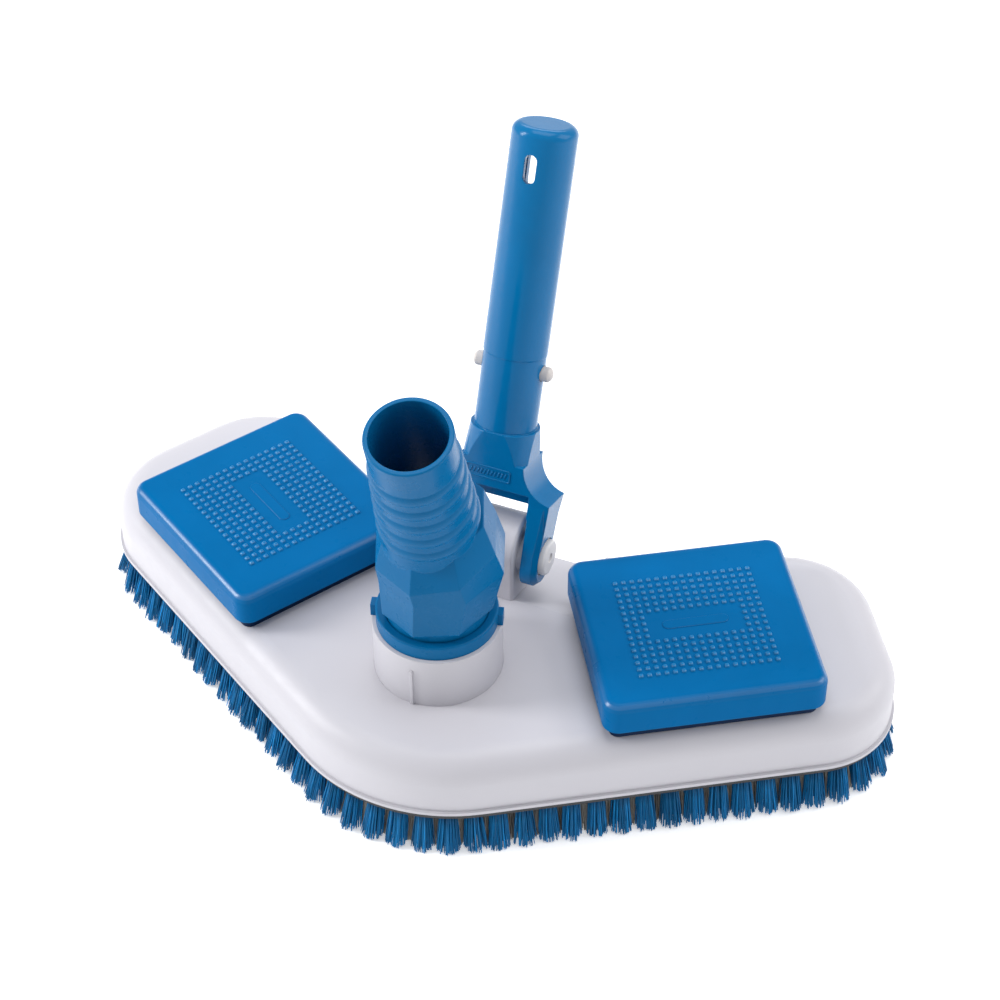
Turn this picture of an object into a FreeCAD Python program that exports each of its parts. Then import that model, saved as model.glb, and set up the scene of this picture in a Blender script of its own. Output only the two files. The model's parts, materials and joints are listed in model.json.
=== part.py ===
import FreeCAD, Part
import math
import os

# Pool vacuum head with brush: a chevron shell on a ring of bristle tufts, two clip-down weights,
# a turning hose swivel in a collar and a folding pole handle.
# Millimetres. +Z up, bristle tips at Z = 0, nose towards -Y. Shapes are drawn with the collar's axis
# on X = Y = 0 and moved along Y when they are written.

V = FreeCAD.Vector
UP = V(0, 0, 1)

# ---- driving dimensions ----
ORIGIN_Y = 35.20            # from the collar's axis back to the middle of the whole object

SWEEP = 31.66               # each wing's sweep, degrees
FRONT_V = -66.3             # front edge, measured square to the wing
REAR_V = 46.0               # rear edge of the wing
END_U = 199.5               # wing's end, measured along the wing
APRON_Y = 96.0              # straight rear edge between the wings
NOSE_R = 80.0
WING_CORNER_R = 40.0
APRON_CORNER_R = 30.0

RIM_Z = 23.0
TOP_Z = 52.0
WALL = 3.0
EDGE_R = 12.0
FLANGE = 1.2                # the rim's small lip
FLANGE_H = 1.8
RAMP_Y = 46.0               # where the rear ramp starts
RAMP_END_Z = 35.0           # the ramp's height at the rear edge
RAMP_HALF = 45.0

FRAME_T = 4.0
FRAME_INSET = 2.0
FRAME_WIDTH = 25.0
TUFT_TOP_R = 3.5
TUFT_TIP_R = 4.8
REAR_TIP_R = 4.6            # rear tufts lean towards each other at the apron's inner corners
TUFT_PITCH = 10.8
OUTER_ROW = 6.6             # row's distance inside the rim, at the frame
INNER_R = 2.6
INNER_STEP = 4.5            # from the outer row in to the staggered row behind it
INNER_ROW_Y = 50.0          # the staggered row runs round the front, up to here
OUTER_SPLAY = 4.6           # how far a tuft leans out at the tip
INNER_SPLAY = 3.2
TUFT_GAP = 0.3
ROW_STEPS = 3600            # points the row's path is stepped off in
REAR_CENTRE_HALF = 70.0     # half the width of the rear row's middle stretch
SCREW_R = 1.95
BOSS_R = 4.2

COLLAR_R = 28.25
COLLAR_BORE = 25.6
COLLAR_TOP = 78.5
COLLAR_FOOT = 40.0
COLLAR_RIB_TOP = 72.0
SEAT_Z = 59.0
PORT_R = 21.0
RING_R = 26.5
RING_TOP = 85.3
RING_BORE = 22.75
RING_FOOT = 66.0

PAD_U = 110.45              # weight cover's middle, along and across the wing
PAD_V = -15.2
PAD_L = 97.3
PAD_W = 92.5
PAD_FOOT = 57.8
PAD_TOP = 72.9
PAD_WALL = 3.0
PAD_CORNER = 7.0
PAD_EDGE = 4.2
POST_R = 3.8
TRAY_GAP = 0.3
PAD_SCREW = (34.0, 32.0)
BALLAST = (76.0, 50.0, 8.4)  # length, width, height
HEAD_R = 3.7
HEAD_H = 2.4

SWIVEL_SIDES = 8
SWIVEL_TURN = -92.0         # azimuth of one corner, degrees
# faceted body, bottom to top: corner radius, middle, tilt and the azimuth it tilts towards
SWIVEL_SECTIONS = [(25.6, V(0.6, 0.3, 92.3), 8.0, -110.0),
                   (28.8, V(1.6, 3.2, 111.5), 9.0, -116.0),
                   (28.0, V(-0.2, 1.0, 123.0), 20.5, -106.0),
                   (23.5, V(-1.5, 2.2, 136.0), 22.0, -106.0)]
NECK_R = 22.45
FLOW_R = 16.3
SPIGOT_BASE = V(-2.0, 5.9, 112.0)
SPIGOT_LENGTH = 91.1
SPIGOT_AZIMUTH = -85.9
SPIGOT_TILT = 17.7
LIP_R = 18.4
LIP_LENGTH = 16.0
SPIGOT_BASE_R = 22.9
RIB_H = 1.0
RIB_W = 6.0
RIB_PITCH = 10.0
RIB_COUNT = 5

PIVOT = V(0, 58.5, 71.5)
HANDLE_LEAN = 20.0
ARM_IN = 19.3
ARM_OUT = 26.6
ARM_FRONT = 10.75            # arm's depth in front of the pivot's plane and behind it
ARM_REAR = 8.6
ARM_END_DEPTH = 11.2         # half the arm's depth at its rounded end
ARM_FOOT = 14.4              # the arm's end below the pivot
ARM_CHAMFER = 2.2
FLARE_X = 28.6               # the fork's widest point
FLARE_Z = 28.5
CROSS_FRONT = 31.0           # crosspiece's underside above the pivot, front and rear
CROSS_REAR = 22.8
CROSS_KNEE = 4.0
TUBE_R = 14.2
TUBE_RELIEF_R = 13.95       # the tube is slightly slimmer round the buttons
TUBE_RELIEF_TOP = 92.0      # above the pivot
TUBE_CAP = 3.0              # thickness of the closed end
TUBE_CROWN = 4.0            # rounding of the closed end
TUBE_BORE = 11.6
TUBE_TOP = 193.6
TUBE_FLOOR_Z = 65.6
SHOULDER_Z = 57.6
SHOULDER_R = 15.4
NECK_Z = 44.0                # where the fork starts to flare
NECK_SLOPE = 0.12
SLOT_Z = 176.5
SLOT = (5.4, 12.6)           # front slot, width and height
WINDOW = (17.0, 30.0)        # rear window
PIN_R = 5.0
PIN_FIT = 0.08
PIN_HEAD_R = 8.3
PIN_FACE = 29.3
BRACKET_HALF = 16.6
BRACKET_BOSS = 2.3
BRACKET_FRONT = 45.0
BRACKET_REAR = 73.0
BRACKET_FOOT = 36.0
BUTTON_Z = 84.6
BUTTON_R = 3.4
BUTTON_FACE = 18.6


# ---- small helpers ----
def wing_point(u, v, z=0.0, side=1):
    """A point given along (u) and across (v) a wing; side is 1 on the right and -1 on the left."""
    a = math.radians(SWEEP)
    x = u * math.cos(a) - v * math.sin(a)
    y = u * math.sin(a) + v * math.cos(a)
    return V(side * x, y, z)


def rounded_wire(corners, z):
    """A closed wire through (point, radius) corners, each corner rounded by a tangent arc."""
    count = len(corners)
    arcs = []
    for i in range(count):
        here, radius = corners[i]
        back = (corners[i - 1][0] - here).normalize()
        ahead = (corners[(i + 1) % count][0] - here).normalize()
        half = back.getAngle(ahead) / 2
        reach = radius / math.tan(half)
        bisector = (back + ahead).normalize()
        middle = here + bisector * (radius / math.sin(half) - radius)
        arcs.append((here + back * reach, middle, here + ahead * reach))
    lift = V(0, 0, z)
    edges = []
    for i in range(count):
        start, middle, end = arcs[i]
        following = arcs[(i + 1) % count][0]
        edges.append(Part.Arc(start + lift, middle + lift, end + lift).toShape())
        edges.append(Part.LineSegment(end + lift, following + lift).toShape())
    return Part.Wire(edges)


def outline(inset, z):
    """The head's outline in plan, moved inwards by inset."""
    a = math.radians(SWEEP)
    front = FRONT_V + inset
    rear = REAR_V - inset
    end = END_U - inset
    apron = APRON_Y - inset
    inner_x = (apron * math.cos(a) - rear) / math.sin(a)
    outer = WING_CORNER_R - inset
    inner = APRON_CORNER_R + inset
    corners = [(V(0, front / math.cos(a), 0), NOSE_R - inset),
               (wing_point(end, front), outer),
               (wing_point(end, rear), outer),
               (V(inner_x, apron, 0), inner),
               (V(-inner_x, apron, 0), inner),
               (wing_point(end, rear, side=-1), outer),
               (wing_point(end, front, side=-1), outer)]
    return rounded_wire(corners, z)


def plate(wire, height):
    return Part.Face(wire).extrude(V(0, 0, height))


def tube(radius, bore, z0, z1):
    ring = Part.makeCylinder(radius, z1 - z0, V(0, 0, z0))
    return ring.cut(Part.makeCylinder(bore, z1 - z0, V(0, 0, z0)))


def rounded_box(length, width, height, corner, z=0.0):
    half_l = length / 2
    half_w = width / 2
    points = [V(-half_l, -half_w, 0), V(half_l, -half_w, 0), V(half_l, half_w, 0), V(-half_l, half_w, 0)]
    return plate(rounded_wire([(p, corner) for p in points], z), height)


def top_edges(solid, z):
    return [e for e in solid.Edges if abs(e.BoundBox.ZMin - z) < 1e-3 and abs(e.BoundBox.ZMax - z) < 1e-3]


def screw(point, top, head_z, shank_r):
    """A pan-head screw driven upwards: head below head_z, shank up to top."""
    base = V(point.x, point.y, head_z - HEAD_H)
    head = Part.makeCylinder(HEAD_R, HEAD_H, base)
    socket = Part.makeCylinder(1.5, 1.3, base)
    shank = Part.makeCylinder(shank_r, top - head_z, V(point.x, point.y, head_z))
    return head.fuse(shank).cut(socket).removeSplitter()


# ---- the head ----
def hull(inset, top, edge, drop):
    """The shell's outer or inner form: a plate with a rounded top edge and a ramp down at the rear."""
    body = plate(outline(inset, RIM_Z), top - RIM_Z)
    body = body.makeFillet(edge, top_edges(body, top))
    slope = (RAMP_END_Z - TOP_Z) / (APRON_Y - RAMP_Y)
    y0 = RAMP_Y - drop
    y1 = APRON_Y + 10
    z0 = TOP_Z - drop
    profile = Part.makePolygon([V(0, y0, z0), V(0, y1, z0 + slope * (y1 - y0)), V(0, y1, TOP_Z + 5),
                                V(0, y0 - 1, TOP_Z + 5), V(0, y0, z0)])
    half = RAMP_HALF + drop
    wedge = Part.Face(profile).extrude(V(2 * half, 0, 0))
    wedge.translate(V(-half, 0, 0))
    return body.cut(wedge)


FRAME_SCREWS = [wing_point(u, v, side=s) for s in (1, -1)
                for u, v in ((52, -45.8), (110, -45.8), (176, -38), (176, 16), (112, 25.5), (62, 25.5))]
FRAME_SCREWS += [V(0, -43.5, 0), V(0, 77.0, 0)]


def cover_screw_points(side):
    return [wing_point(PAD_U + du * PAD_SCREW[0], PAD_V + dv * PAD_SCREW[1], side=side)
            for du in (-1, 1) for dv in (-1, 1)]


def bracket_block():
    """Upright block behind the collar, with its upper edges well rounded."""
    crown = 13.0
    top = PIVOT.z + 17.0
    inset = crown * (1 - math.sqrt(0.5))

    def line(a, b):
        return Part.LineSegment(V(0, a[0], a[1]), V(0, b[0], b[1])).toShape()

    def arc(a, b, c):
        return Part.Arc(V(0, a[0], a[1]), V(0, b[0], b[1]), V(0, c[0], c[1])).toShape()

    edges = [line((BRACKET_FRONT, BRACKET_FOOT), (BRACKET_FRONT, top - crown)),
             arc((BRACKET_FRONT, top - crown), (BRACKET_FRONT + inset, top - inset),
                 (BRACKET_FRONT + crown, top)),
             line((BRACKET_FRONT + crown, top), (BRACKET_REAR - crown, top)),
             arc((BRACKET_REAR - crown, top), (BRACKET_REAR - inset, top - inset),
                 (BRACKET_REAR, top - crown)),
             line((BRACKET_REAR, top - crown), (BRACKET_REAR, BRACKET_FOOT)),
             line((BRACKET_REAR, BRACKET_FOOT), (BRACKET_FRONT, BRACKET_FOOT))]
    block = Part.Face(Part.Wire(edges)).extrude(V(2 * BRACKET_HALF, 0, 0))
    block.translate(V(-BRACKET_HALF, 0, 0))
    side_edges = [e for e in block.Edges
                  if abs(abs(e.CenterOfMass.x) - BRACKET_HALF) < 1e-3 and e.BoundBox.ZMax > BRACKET_FOOT + 1]
    return block.makeFillet(1.6, side_edges)


def handle_bracket():
    """The block that holds the handle's pins, with a round boss on each side."""
    boss = Part.makeCylinder(PIN_HEAD_R + 0.6, 2 * (BRACKET_HALF + BRACKET_BOSS),
                             V(-BRACKET_HALF - BRACKET_BOSS, PIVOT.y, PIVOT.z), V(1, 0, 0))
    bore = Part.makeCylinder(PIN_R, 120.0, V(-60.0, PIVOT.y, PIVOT.z), V(1, 0, 0))
    return bracket_block().fuse(boss).cut(bore)


def shell_collar():
    """The tube that holds the swivel, with the suction port through its floor."""
    collar = Part.makeCylinder(COLLAR_R, COLLAR_TOP - COLLAR_FOOT, V(0, 0, COLLAR_FOOT))
    rib = Part.makeBox(1.4, 1.4, COLLAR_RIB_TOP - TOP_Z, V(-0.7, -COLLAR_R - 0.9, TOP_Z))
    cuts = [Part.makeCylinder(COLLAR_BORE, COLLAR_TOP, V(0, 0, SEAT_Z)),
            Part.makeCylinder(PORT_R, 60.0, V(0, 0, 30.0))]
    return collar.fuse(rib).cut(cuts)


def body_shell():
    outer = hull(FLANGE, TOP_Z, EDGE_R, 0.0)
    inner = hull(FLANGE + WALL, TOP_Z - WALL, EDGE_R - WALL, WALL)
    inner = inner.fuse(plate(outline(FLANGE + WALL, RIM_Z - 1), 1.0))
    bosses = []
    for p in FRAME_SCREWS:
        bosses.append(Part.makeCylinder(BOSS_R, TOP_Z - RIM_Z, V(p.x, p.y, RIM_Z)).common(outer))
    lip = plate(outline(0.0, RIM_Z), FLANGE_H).cut(plate(outline(FLANGE + 1.5, RIM_Z), FLANGE_H))
    shell = outer.cut(inner).fuse(bosses + [lip])
    cuts = [bracket_block(), Part.makeCylinder(COLLAR_R, 60.0, V(0, 0, 30.0))]
    for p in FRAME_SCREWS:
        cuts.append(Part.makeCylinder(SCREW_R, 9.5, V(p.x, p.y, RIM_Z)))
    for side in (1, -1):
        for p in cover_screw_points(side):
            cuts.append(Part.makeCylinder(SCREW_R + 0.3, 20.0, V(p.x, p.y, TOP_Z - 10.0)))
    return shell.cut(cuts).removeSplitter()


def bristle_frame():
    z = RIM_Z - FRAME_T
    ring = plate(outline(FRAME_INSET, z), FRAME_T).cut(plate(outline(FRAME_WIDTH, z), FRAME_T))
    holes = [Part.makeCylinder(SCREW_R + 0.3, FRAME_T, V(p.x, p.y, z)) for p in FRAME_SCREWS]
    return ring.cut(holes)


def frame_screws():
    z = RIM_Z - FRAME_T
    return Part.makeCompound([screw(p, z + 12.0, z, SCREW_R) for p in FRAME_SCREWS])


def row_places(inset, pitch):
    """(place, outward) for each tuft of a closed row, the same on both sides of the nose's middle."""
    path = outline(inset, RIM_Z - FRAME_T)
    points = path.discretize(Number=ROW_STEPS + 1)[:-1]
    nose = min((k for k in range(ROW_STEPS) if points[k].y < 0), key=lambda k: abs(points[k].x))
    count = 2 * int(round(path.Length / pitch / 2))
    places = []
    for i in range(count):
        k = nose + int(round((i + 0.5) * ROW_STEPS / count))
        along = (points[(k + 5) % ROW_STEPS] - points[(k - 5) % ROW_STEPS]).normalize()
        places.append((points[k % ROW_STEPS], V(along.y, -along.x, 0)))
    return places


def staggered_places(outer):
    """The places behind the gaps of the outer row, where a tuft clears its neighbours and the screws."""
    taken = [(here, tip_of(here, outward, OUTER_SPLAY), TUFT_TOP_R, TUFT_TIP_R) for here, outward in outer]
    places = []
    for i, (here, outward) in enumerate(outer):
        before, before_outward = outer[i - 1]
        lean = (outward + before_outward).normalize()
        place = (here + before) * 0.5 - lean * INNER_STEP
        tip = tip_of(place, lean, INNER_SPLAY)
        clear = all((place - root).Length > INNER_R + root_r + TUFT_GAP
                    and (tip - foot).Length > INNER_R + foot_r + TUFT_GAP
                    for root, foot, root_r, foot_r in taken)
        near_screw = min(math.hypot(place.x - p.x, place.y - p.y) for p in FRAME_SCREWS) < 7.2
        if clear and not near_screw and place.y < INNER_ROW_Y:
            taken.append((place, tip, INNER_R, INNER_R))
            places.append((place, lean))
    return places


def tip_of(here, outward, splay):
    return V(here.x, here.y, 0) + outward * splay


def tuft(here, outward, splay, root_r, foot_r):
    root = Part.Wire(Part.makeCircle(root_r, here, UP))
    foot = Part.Wire(Part.makeCircle(foot_r, tip_of(here, outward, splay), UP))
    return Part.makeLoft([root, foot], True, True)


def row_group(place):
    """Which stretch of the outer row a tuft belongs to."""
    a = math.radians(SWEEP)
    across = -abs(place.x) * math.sin(a) + place.y * math.cos(a)
    along = abs(place.x) * math.cos(a) + place.y * math.sin(a)
    hand = "right" if place.x > 0 else "left"
    if along > END_U - WING_CORNER_R:
        return "bristles_end_" + hand
    if across < 0 and abs(place.x) < NOSE_R * math.sin(a):
        return "bristles_nose"
    if across < 0:
        return "bristles_front_" + hand
    if abs(place.x) < REAR_CENTRE_HALF:
        return "bristles_rear_centre"
    return "bristles_rear_" + hand


def bristles():
    outer = row_places(OUTER_ROW, TUFT_PITCH)
    groups = {}
    for here, outward in outer:
        group = row_group(here)
        foot_r = REAR_TIP_R if "rear" in group else TUFT_TIP_R
        groups.setdefault(group, []).append(tuft(here, outward, OUTER_SPLAY, TUFT_TOP_R, foot_r))
    groups["bristles_inner"] = [tuft(here, outward, INNER_SPLAY, INNER_R, INNER_R)
                                for here, outward in staggered_places(outer)]
    return {name: Part.makeCompound(solids) for name, solids in groups.items()}


# ---- weights ----
def place_on_wing(shape, side):
    """Moves a shape drawn about its own middle to the weight's place on a wing."""
    moved = shape.copy()
    moved.rotate(V(0, 0, 0), UP, side * SWEEP)
    moved.translate(wing_point(PAD_U, PAD_V, side=side))
    return moved


def weight_cover():
    height = PAD_TOP - PAD_FOOT
    outer = rounded_box(PAD_L, PAD_W, height, PAD_CORNER, PAD_FOOT)
    outer = outer.makeFillet(PAD_EDGE, top_edges(outer, PAD_TOP))
    inner = rounded_box(PAD_L - 2 * PAD_WALL, PAD_W - 2 * PAD_WALL, height - PAD_WALL,
                        PAD_CORNER - PAD_WALL, PAD_FOOT)
    posts = []
    holes = []
    for du in (-1, 1):
        for dv in (-1, 1):
            spot = V(du * PAD_SCREW[0], dv * PAD_SCREW[1], PAD_FOOT + 2.6)
            posts.append(Part.makeCylinder(POST_R, height - 2.6 - 1.0, spot))
            holes.append(Part.makeCylinder(SCREW_R, height - 2.6 - 3.0, spot))
    return outer.cut(inner).fuse(posts).cut(holes).removeSplitter()


def weight_tray():
    reach = 2 * (PAD_WALL + TRAY_GAP)
    tray = rounded_box(PAD_L - reach, PAD_W - reach, PAD_FOOT + 2.6 - TOP_Z, PAD_CORNER - PAD_WALL, TOP_Z)
    holes = [Part.makeCylinder(SCREW_R + 0.3, 20.0, V(du * PAD_SCREW[0], dv * PAD_SCREW[1], TOP_Z))
             for du in (-1, 1) for dv in (-1, 1)]
    return tray.cut(holes)


def ballast():
    block = rounded_box(BALLAST[0], BALLAST[1], BALLAST[2], 4.0, PAD_FOOT + 2.6)
    return block.makeChamfer(1.0, top_edges(block, PAD_FOOT + 2.6 + BALLAST[2]))


def cover_screws(side):
    head_z = TOP_Z - WALL
    return Part.makeCompound([screw(p, PAD_TOP - 5.0, head_z, SCREW_R) for p in cover_screw_points(side)])


# ---- swivel ----
def collar_ring():
    ring = Part.makeCylinder(RING_R, RING_TOP - COLLAR_TOP, V(0, 0, COLLAR_TOP))
    ring = ring.makeFillet(1.0, top_edges(ring, RING_TOP))
    sleeve = Part.makeCylinder(COLLAR_BORE - 0.06, COLLAR_TOP - RING_FOOT, V(0, 0, RING_FOOT))
    lugs = []
    for azimuth in (15.6, 195.6):
        lug = Part.makeBox(3.0, 5.0, RING_TOP - COLLAR_TOP - 0.6, V(RING_R - 0.8, -2.5, COLLAR_TOP))
        lug.rotate(V(0, 0, 0), UP, azimuth)
        lugs.append(lug)
    ring = ring.fuse([sleeve] + lugs)
    return ring.cut(Part.makeCylinder(RING_BORE, 60.0, V(0, 0, RING_FOOT - 1))).removeSplitter()


def swivel_seal():
    return tube(COLLAR_BORE - 0.2, PORT_R + 0.4, SEAT_Z, SEAT_Z + 2.0)


def facet_section(radius, centre, tilt, azimuth):
    """A flat eight-sided section, tilted by tilt degrees towards azimuth."""
    towards = V(math.cos(math.radians(azimuth)), math.sin(math.radians(azimuth)), 0)
    turn = FreeCAD.Rotation(UP.cross(towards), tilt)
    points = []
    for i in range(SWIVEL_SIDES):
        corner = math.radians(SWIVEL_TURN + i * 360.0 / SWIVEL_SIDES)
        points.append(centre + turn.multVec(V(radius * math.cos(corner), radius * math.sin(corner), 0)))
    return Part.makePolygon(points + [points[0]])


def spigot_axis():
    tilt = math.radians(SPIGOT_TILT)
    azimuth = math.radians(SPIGOT_AZIMUTH)
    return V(math.sin(tilt) * math.cos(azimuth), math.sin(tilt) * math.sin(azimuth), math.cos(tilt))


def spigot():
    """The ribbed hose spigot, turned about its own axis and then leaned into place."""
    def radius_at(height):
        below = (SPIGOT_LENGTH - LIP_LENGTH - height) / (SPIGOT_LENGTH - LIP_LENGTH)
        return LIP_R + (SPIGOT_BASE_R - LIP_R) * below

    start = 10.0
    first_rib = SPIGOT_LENGTH - LIP_LENGTH - 4.4
    edges = []
    corner = V(radius_at(start), 0, start)
    for i in reversed(range(RIB_COUNT)):
        middle = first_rib - i * RIB_PITCH
        low = middle - RIB_W / 2
        high = middle + RIB_W / 2
        foot = V(radius_at(low), 0, low)
        edges.append(Part.LineSegment(corner, foot).toShape())
        crest = V(radius_at(middle) + RIB_H, 0, middle)
        corner = V(radius_at(high), 0, high)
        edges.append(Part.Arc(foot, crest, corner).toShape())
    lip_foot = V(LIP_R, 0, SPIGOT_LENGTH - LIP_LENGTH)
    lip_top = V(LIP_R, 0, SPIGOT_LENGTH - 0.7)
    edges.append(Part.LineSegment(corner, lip_foot).toShape())
    edges.append(Part.LineSegment(lip_foot, lip_top).toShape())
    edges.append(Part.Arc(lip_top, V(LIP_R - 0.2, 0, SPIGOT_LENGTH - 0.2),
                          V(LIP_R - 0.7, 0, SPIGOT_LENGTH)).toShape())
    edges.append(Part.LineSegment(V(LIP_R - 0.7, 0, SPIGOT_LENGTH), V(0, 0, SPIGOT_LENGTH)).toShape())
    edges.append(Part.LineSegment(V(0, 0, SPIGOT_LENGTH), V(0, 0, start)).toShape())
    edges.append(Part.LineSegment(V(0, 0, start), V(radius_at(start), 0, start)).toShape())
    solid = Part.Face(Part.Wire(edges)).revolve(V(0, 0, 0), UP, 360)
    solid.Placement = FreeCAD.Placement(SPIGOT_BASE, FreeCAD.Rotation(UP, spigot_axis()))
    return solid


def hose_swivel():
    sections = [facet_section(*row) for row in SWIVEL_SECTIONS]
    body = [Part.makeLoft([low, high], True, True) for low, high in zip(sections, sections[1:])]
    neck = Part.makeCylinder(NECK_R, 35.0, V(0, 0, RING_FOOT - 1.0))
    flange = Part.makeCylinder(COLLAR_BORE - 0.4, 4.4, V(0, 0, SEAT_Z + 2.3))
    solid = neck.fuse(body + [flange, spigot()])
    axis = spigot_axis()
    flow = Part.makeCylinder(FLOW_R, 60.0, V(0, 0, 60.0))
    leaning = Part.makeCylinder(FLOW_R, SPIGOT_LENGTH + 10.0, SPIGOT_BASE - axis * 2.0, axis)
    return solid.cut([flow, leaning]).removeSplitter()


# ---- handle, drawn about its pivot with the tube along +Z ----
def lean(shape):
    moved = shape.copy()
    moved.rotate(V(0, 0, 0), V(1, 0, 0), -HANDLE_LEAN)
    moved.translate(PIVOT)
    return moved


def fork_front():
    """The fork's outline seen from the front, between the arms' feet and the shoulder."""
    flare = V(FLARE_X, 0, FLARE_Z)
    neck_x = SHOULDER_R - 0.2
    foot = -ARM_FOOT - 2.0
    bulge = math.radians(42)
    sweep_mid = V(neck_x + (NECK_Z - FLARE_Z) * (1 - math.cos(bulge)), 0,
                  NECK_Z - (NECK_Z - FLARE_Z) * math.sin(bulge))
    cut_back = CROSS_KNEE * (1 - math.sqrt(0.5))
    knee_mid = V(ARM_IN - cut_back, 0, CROSS_REAR - cut_back)

    def half(side):
        def line(a, b):
            return Part.LineSegment(V(side * a.x, 0, a.z), V(side * b.x, 0, b.z)).toShape()

        def arc(a, b, c):
            return Part.Arc(V(side * a.x, 0, a.z), V(side * b.x, 0, b.z), V(side * c.x, 0, c.z)).toShape()

        corners = [V(ARM_IN, 0, foot), V(ARM_OUT, 0, foot), V(ARM_OUT, 0, 4.0), flare]
        knee_low = V(ARM_IN, 0, CROSS_REAR - CROSS_KNEE)
        knee_high = V(ARM_IN - CROSS_KNEE, 0, CROSS_REAR)
        edges = [line(a, b) for a, b in zip(corners, corners[1:])]
        edges.append(arc(flare, sweep_mid, V(neck_x, 0, NECK_Z)))
        edges.append(line(V(neck_x, 0, NECK_Z), V(neck_x, 0, SHOULDER_Z)))
        edges.append(line(corners[0], knee_low))
        edges.append(arc(knee_low, knee_mid, knee_high))
        return edges

    span = ARM_IN - CROSS_KNEE
    top = Part.LineSegment(V(-neck_x, 0, SHOULDER_Z), V(neck_x, 0, SHOULDER_Z)).toShape()
    bottom = Part.LineSegment(V(-span, 0, CROSS_REAR), V(span, 0, CROSS_REAR)).toShape()
    wire = Part.Wire(Part.__sortEdges__(half(1) + half(-1) + [top, bottom]))
    return Part.Face(wire)


def fork_side():
    """The fork's outline seen from the side: rounded feet, deeper towards the shoulder."""
    front_ankle = V(0, -ARM_END_DEPTH, -3.0)
    rear_ankle = V(0, ARM_END_DEPTH, -3.0)
    corners = [rear_ankle, V(0, ARM_REAR, 27.0), V(0, SHOULDER_R - 0.7, SHOULDER_Z),
               V(0, 0.7 - SHOULDER_R, SHOULDER_Z), V(0, -ARM_FRONT, 27.0), front_ankle]
    edges = [Part.Arc(front_ankle, V(0, 0, -ARM_FOOT), rear_ankle).toShape()]
    edges += [Part.LineSegment(a, b).toShape() for a, b in zip(corners, corners[1:])]
    return Part.Face(Part.Wire(edges))


def fork():
    """The forked lower end: its front outline and its side outline, crossed."""
    front = fork_front().extrude(V(0, 40, 0))
    front.translate(V(0, -20, 0))
    side = fork_side().extrude(V(80, 0, 0))
    side.translate(V(-40, 0, 0))
    body = front.common(side)
    outer_edges = [e for e in body.Edges
                   if e.Curve.TypeId == "Part::GeomLine" and e.BoundBox.ZMax < 30 and e.Length > 6
                   and abs(e.CenterOfMass.x) > ARM_OUT - 0.1 and abs(e.CenterOfMass.y) > 8]
    body = body.makeChamfer(ARM_CHAMFER, outer_edges)
    rise = SHOULDER_Z - NECK_Z
    neck = Part.makeCone(SHOULDER_R + NECK_SLOPE * rise, SHOULDER_R, rise, V(0, 0, NECK_Z))
    lower = Part.makeBox(80, 80, NECK_Z + 20, V(-40, -40, -20))
    recess = Part.makeBox(2 * ARM_IN - 1.0, ARM_FRONT + 5, CROSS_FRONT - CROSS_REAR + 5,
                          V(-ARM_IN + 0.5, -ARM_FRONT - 5, CROSS_REAR - 5))
    return body.common(neck.fuse(lower)).cut(recess)


def pole_handle():
    outer = Part.makeCylinder(TUBE_R, TUBE_TOP - TUBE_RELIEF_TOP, V(0, 0, TUBE_RELIEF_TOP))
    outer = outer.makeFillet(TUBE_CROWN, top_edges(outer, TUBE_TOP))
    relief = Part.makeCylinder(TUBE_RELIEF_R, TUBE_RELIEF_TOP - SHOULDER_Z + 1.0, V(0, 0, SHOULDER_Z - 1.0))
    solid = fork().fuse([outer, relief])
    bore = Part.makeCylinder(TUBE_BORE, TUBE_TOP - TUBE_CAP - TUBE_FLOOR_Z, V(0, 0, TUBE_FLOOR_Z))
    cuts = [bore.makeFillet(TUBE_CROWN - 1.5, top_edges(bore, TUBE_TOP - TUBE_CAP)),
            Part.makeCylinder(PIN_R + PIN_FIT, 80.0, V(-40.0, 0, 0), V(1, 0, 0)),
            Part.makeCylinder(BUTTON_R + 0.3, 60.0, V(-30.0, 0, BUTTON_Z), V(1, 0, 0))]
    for side in (1, -1):
        cuts.append(Part.makeCylinder(PIN_HEAD_R + 0.5, 10.0, V(side * (ARM_OUT - 1.0), 0, 0), V(side, 0, 0)))
    cuts.append(slot_cutter(SLOT[0], SLOT[1], -TUBE_R - 2.0, -5.0, SLOT_Z))
    cuts.append(slot_cutter(WINDOW[0], WINDOW[1], 5.0, TUBE_R + 2.0, SLOT_Z - 5.0))
    return solid.cut(cuts).removeSplitter()


def slot_cutter(width, height, y0, y1, z):
    """A round-ended slot through the tube's wall between y0 and y1."""
    r = width / 2
    low = z - height / 2 + r
    high = z + height / 2 - r
    edges = [Part.LineSegment(V(r, y0, low), V(r, y0, high)).toShape(),
             Part.Arc(V(r, y0, high), V(0, y0, high + r), V(-r, y0, high)).toShape(),
             Part.LineSegment(V(-r, y0, high), V(-r, y0, low)).toShape(),
             Part.Arc(V(-r, y0, low), V(0, y0, low - r), V(r, y0, low)).toShape()]
    return Part.Face(Part.Wire(edges)).extrude(V(0, y1 - y0, 0))


def pivot_pin(side):
    """Headed pin, pressed into the bracket; the handle's arm turns on it."""
    floor = ARM_OUT - 0.8
    head = Part.makeCylinder(PIN_HEAD_R, PIN_FACE - floor, V(side * floor, 0, 0), V(side, 0, 0))
    rim = [e for e in head.Edges if abs(abs(e.CenterOfMass.x) - PIN_FACE) < 1e-3]
    head = head.makeFillet(1.3, rim)
    shank = Part.makeCylinder(PIN_R - 0.02, floor - 6.0, V(side * 6.0, 0, 0), V(side, 0, 0))
    dimple = Part.makeCylinder(2.2, 5.0, V(side * (PIN_FACE - 0.8), 0, 0), V(side, 0, 0))
    pin = head.fuse(shank).cut(dimple)
    pin.translate(PIVOT)
    return pin


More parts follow.
